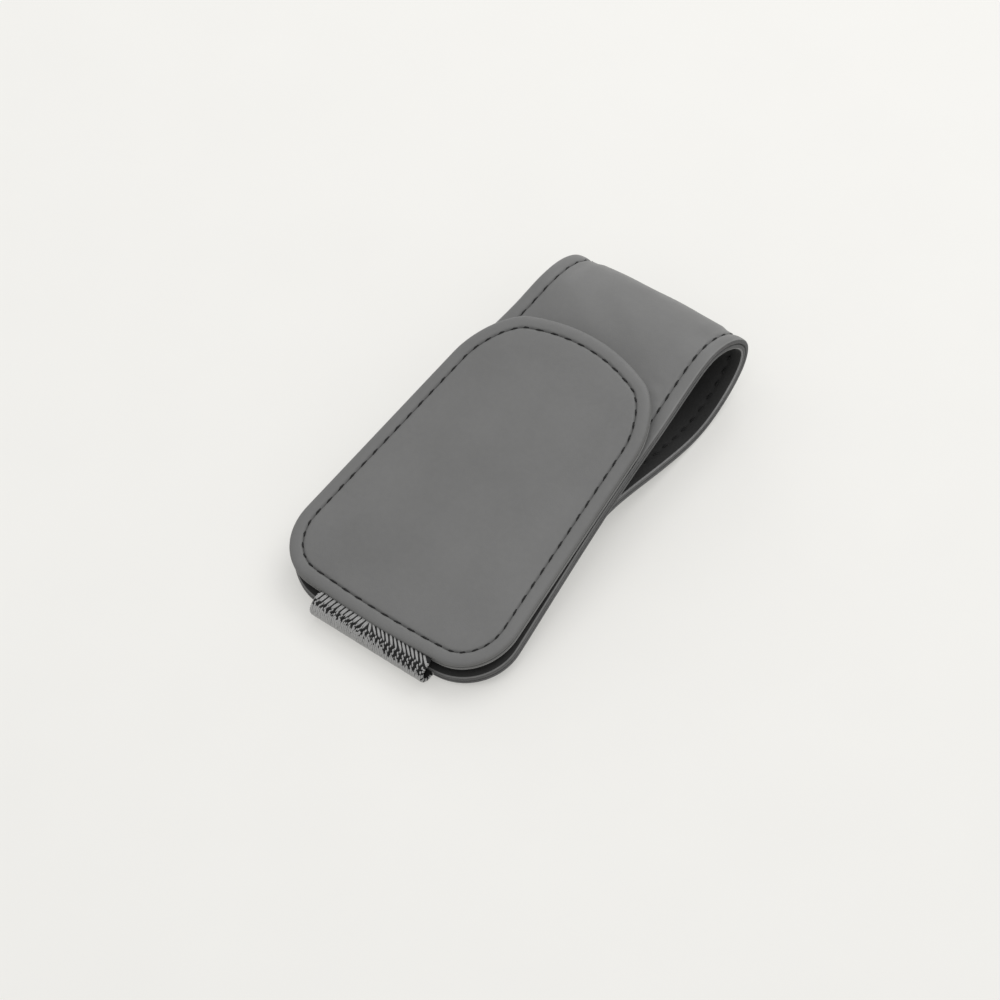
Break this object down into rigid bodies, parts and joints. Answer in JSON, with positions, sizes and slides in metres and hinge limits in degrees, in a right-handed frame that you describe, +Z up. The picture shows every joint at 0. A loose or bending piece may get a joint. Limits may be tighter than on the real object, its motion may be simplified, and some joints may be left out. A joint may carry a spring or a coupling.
{
  "type": "magnetic visor clip",
  "caption": "Stitched leather clip: a magnetic front flap on an elastic hinge over a strap that loops back as a magnetic tail, to slip on a sun visor.",
  "frame": {"origin": "centre of the bounding box's bottom, on the surface the clip rests on", "axes": "+X across the clip, +Y from the elastic end towards the loop, +Z up as it lies on a table with the flap on top"},
  "size_m": [0.0486, 0.0902, 0.0202],
  "materials": {
    "leather_face": "matte, fine grain",
    "leather_lining": "matte, napped",
    "stiffener_sheet": "matte",
    "elastic_web": "woven",
    "thread": "twisted polyester",
    "magnet_nickel": "nickel plated"
  },
  "bodies": {
    "strap": {"base_outer_skin": "leather_face", "slot_lining": "leather_lining", "base_lining": "leather_lining", "base_stiffener": "stiffener_sheet", "base_magnet_left": "magnet_nickel", "base_magnet_right": "magnet_nickel", "base_stitching": "thread", "elastic_base_tab": "elastic_web"},
    "elastic": {"elastic_band": "elastic_web"},
    "flap": {"flap_front_skin": "leather_face", "flap_lining": "leather_lining", "flap_stiffener": "stiffener_sheet", "flap_magnet_left": "magnet_nickel", "flap_magnet_right": "magnet_nickel", "flap_stitching": "thread", "elastic_flap_tab": "elastic_web"},
    "tail": {"tail_outer_skin": "leather_face", "tail_lining": "leather_lining", "tail_stiffener": "stiffener_sheet", "tail_magnet_left": "magnet_nickel", "tail_magnet_right": "magnet_nickel", "tail_stitching": "thread"}
  },
  "joints": [
    {"name": "elastic_fold", "type": "hinge", "parent": "strap", "child": "elastic", "pos_m": [0, -0.0421, 0.00044], "axis": [1, 0, 0], "range_deg": [0, 80]},
    {"name": "flap_fold", "type": "hinge", "parent": "elastic", "child": "flap", "pos_m": [0, -0.04314, 0.00533], "axis": [1, 0, 0], "range_deg": [0, 80]},
    {"name": "tail_open", "type": "hinge", "parent": "strap", "child": "tail", "pos_m": [0, 0.0442, 0.01072], "axis": [0.999, 0.044, 0.0094], "range_deg": [0, 90]}
  ],
  "couplings": [
    {"joint": "flap_fold", "follows": "elastic_fold", "ratio": 1}
  ]
}
